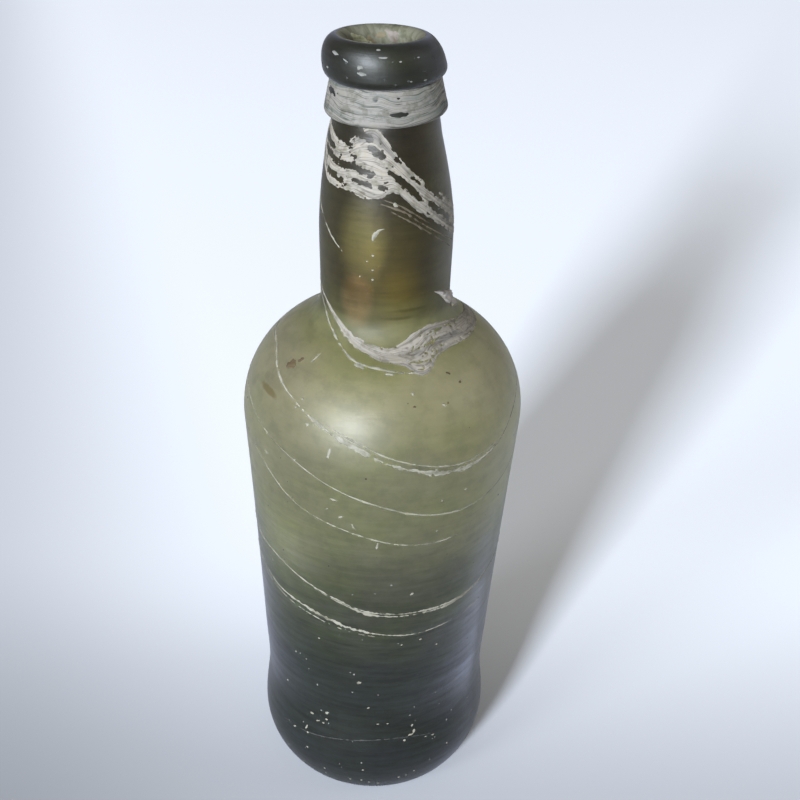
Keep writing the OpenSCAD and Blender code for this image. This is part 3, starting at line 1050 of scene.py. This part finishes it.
# Each crust's light, middle and line tones and how strongly its lines show. The grey crust's lines have
# a stretch and places of their own.
CRUSTS = {
    "pale_crust": ((0.27, 0.243, 0.195), (0.165, 0.15, 0.125), (0.4, 0.37, 0.35), 0.8),
    # The neck-foot flake's crust is its own paler tone, made lighter still with painted light where it
    # faces away from the lamps.
    "flake_crust_painted_lit": ((0.42, 0.38, 0.34), (0.3, 0.27, 0.24), (0.6, 0.57, 0.55), 0.5),
    "grey_crust": ((0.19, 0.175, 0.147), (0.12, 0.127, 0.107), (0.26, 0.3, 0.26), 0.95, 0.03, (0.42, 0.55)),
    "thread_crust": ((0.255, 0.24, 0.185), (0.16, 0.15, 0.11), (0.6, 0.58, 0.5), 0.5),
    "chip_crust": ((0.19, 0.185, 0.165), (0.08, 0.08, 0.065), (0.6, 0.58, 0.5), 0.5),
    "faint_crust": ((0.045, 0.045, 0.04), (0.03, 0.03, 0.025), (0.6, 0.58, 0.5), 0.5),
    "brown_laminae": ((0.11, 0.09, 0.06), (0.07, 0.055, 0.035), (0.6, 0.55, 0.5), 0.5),
    "brown_residue": ((0.1, 0.075, 0.04), (0.07, 0.045, 0.022), (0.6, 0.5, 0.4), 0.7),
    "mouth_film": ((0.15, 0.145, 0.1), (0.1, 0.098, 0.06), (0.75, 0.72, 0.6), 0.35),
    "mouth_residue": ((0.165, 0.135, 0.08), (0.13, 0.105, 0.06), (0.8, 0.75, 0.6), 0.4),
    # The pale olive patches in the mouth are painted light.
    "olive_painted_light": ((0.3, 0.29, 0.18), (0.22, 0.21, 0.12), (0.8, 0.75, 0.6), 0.4),
    "pink_residue": ((0.19, 0.16, 0.13), (0.15, 0.12, 0.09), (0.8, 0.75, 0.7), 0.4),
}


def add_skins():
    crust = {name: crust_material(name, *tones) for name, tones in CRUSTS.items()}
    flake = thread_parts(OUTSIDE, NECK_FOOT_FLAKE, 46, raggedness=0.1, thickness=0.8)
    laminae = [thread_parts(OUTSIDE, stops, 61 + i) for i, stops in enumerate(NECK_LAMINAE)]
    body_dust = dust(OUTSIDE, 110, (55, 170), 200) + dust(OUTSIDE, 190, (4, 60), 400)
    add_skin("crust_neck", [neck_crust()], crust["pale_crust"])
    add_skin("crust_neck_foot", [flake], crust["flake_crust_painted_lit"])
    add_skin("crust_shoulder", [shoulder_crust()], crust["pale_crust"])
    add_skin("crust_collar", [collar_crust()], crust["grey_crust"])
    add_skin("film_mouth", [mouth_film()], crust["mouth_film"])
    add_skin("residue_mouth", fleck_row(BORE, MOUTH_BROWN, 51, 0.06), crust["mouth_residue"])
    add_skin("residue_mouth_pale", fleck_row(BORE, MOUTH_PALE, 55, 0.07), crust["pink_residue"])
    # Painted light on the mouth's shaded left inside.
    add_skin("mouth_olive_painted_light", fleck_row(BORE, MOUTH_PAINTED_LIGHT, 57, 0.05), crust["olive_painted_light"])
    for i, (name, stops) in enumerate(THREADS.items()):
        add_skin(name, [thread_parts(OUTSIDE, stops, 30 + i)], crust["thread_crust"])
    add_skin("thread_heel", [thread_parts(OUTSIDE, HEEL_THREAD, 60)], crust["faint_crust"])
    add_skin("laminae_neck", laminae, crust["brown_laminae"])
    add_skin("flecks", fleck_row(OUTSIDE, FLECKS, 70), crust["thread_crust"])
    add_skin("dust", body_dust, crust["chip_crust"])
    add_skin("dust_lip", dust(LIP_SIDE, 45, (245, 253.5), 600), crust["faint_crust"])
    add_skin("stains", fleck_row(OUTSIDE, STAINS, 150, 0.04), crust["brown_residue"])
    add_skin("chips_lip", fleck_row(LIP_SIDE, CHIPS, 170, 0.05), crust["chip_crust"])


# ---- Stage, light and camera ----

CAMERA_BACK = 0.3575
CAMERA_UP = 0.3575
LOOK_DOWN = math.radians(31.44)
LOOK_RIGHT = math.radians(1.08)
CAMERA_ROLL = math.radians(1.485)
LENS_MM, SENSOR_MM = 59.63, 36
FLOOR_HALF = 4.0
LIGHT_AIM = Vector((0, 0, 0.12))
LIGHT_DISTANCE = 10.0
AMBIENT = 0.34


def add_camera():
    forward = Vector((
        math.sin(LOOK_RIGHT) * math.cos(LOOK_DOWN),
        math.cos(LOOK_RIGHT) * math.cos(LOOK_DOWN),
        -math.sin(LOOK_DOWN),
    ))
    level_right = Vector((math.cos(LOOK_RIGHT), -math.sin(LOOK_RIGHT), 0))
    level_up = level_right.cross(forward)
    right = level_right * math.cos(CAMERA_ROLL) + level_up * math.sin(CAMERA_ROLL)
    up = level_up * math.cos(CAMERA_ROLL) - level_right * math.sin(CAMERA_ROLL)
    data = bpy.data.cameras.new("camera")
    data.lens = LENS_MM
    data.sensor_width = SENSOR_MM
    camera = bpy.data.objects.new("camera", data)
    rotation = Matrix((right, up, -forward)).transposed().to_4x4()
    camera.matrix_world = Matrix.Translation((0, -CAMERA_BACK, CAMERA_UP)) @ rotation
    bpy.context.scene.collection.objects.link(camera)
    bpy.context.scene.camera = camera


def add_area_light(name, azimuth, elevation, size, watts, color):
    """An upright area light that faces the bottle. Azimuth 0 is in front of it, towards -Y."""
    a, e = math.radians(azimuth), math.radians(elevation)
    offset = Vector((math.sin(a) * math.cos(e), -math.cos(a) * math.cos(e), math.sin(e))) * LIGHT_DISTANCE
    data = bpy.data.lights.new(name, "AREA")
    data.shape = "RECTANGLE"
    data.size, data.size_y = size
    data.energy = watts
    data.color = color
    light = bpy.data.objects.new(name, data)
    light.location = LIGHT_AIM + offset
    light.rotation_euler = offset.to_track_quat("Z", "Y").to_euler()
    bpy.context.scene.collection.objects.link(light)


def add_floor():
    mesh = bpy.data.meshes.new("floor")
    corners = [(-1, -1), (1, -1), (1, 1), (-1, 1)]
    mesh.from_pydata([(x * FLOOR_HALF, y * FLOOR_HALF, 0) for x, y in corners], [], [(0, 1, 2, 3)])
    mesh.materials.append(floor_material())
    floor = bpy.data.objects.new("floor", mesh)
    bpy.context.scene.collection.objects.link(floor)


def add_world():
    world = bpy.data.worlds.new("studio")
    world.use_nodes = True
    background = world.node_tree.nodes["Background"]
    background.inputs["Color"].default_value = (1.0, 0.985, 0.96, 1)
    background.inputs["Strength"].default_value = AMBIENT
    bpy.context.scene.world = world


add_glass()
add_skins()
add_camera()
add_world()
add_floor()
add_area_light("window", -26, 18.5, (1.5, 2.2), 2400, (0.77, 0.85, 1.0))
add_area_light("side_window", -50, 22, (2.5, 2.5), 320, (0.8, 0.87, 1.0))
add_area_light("fill", 85, 25, (4, 4), 150, (0.85, 0.9, 1.0))
bpy.context.scene.view_settings.view_transform = "Standard"
bpy.context.scene.cycles.use_denoising = True
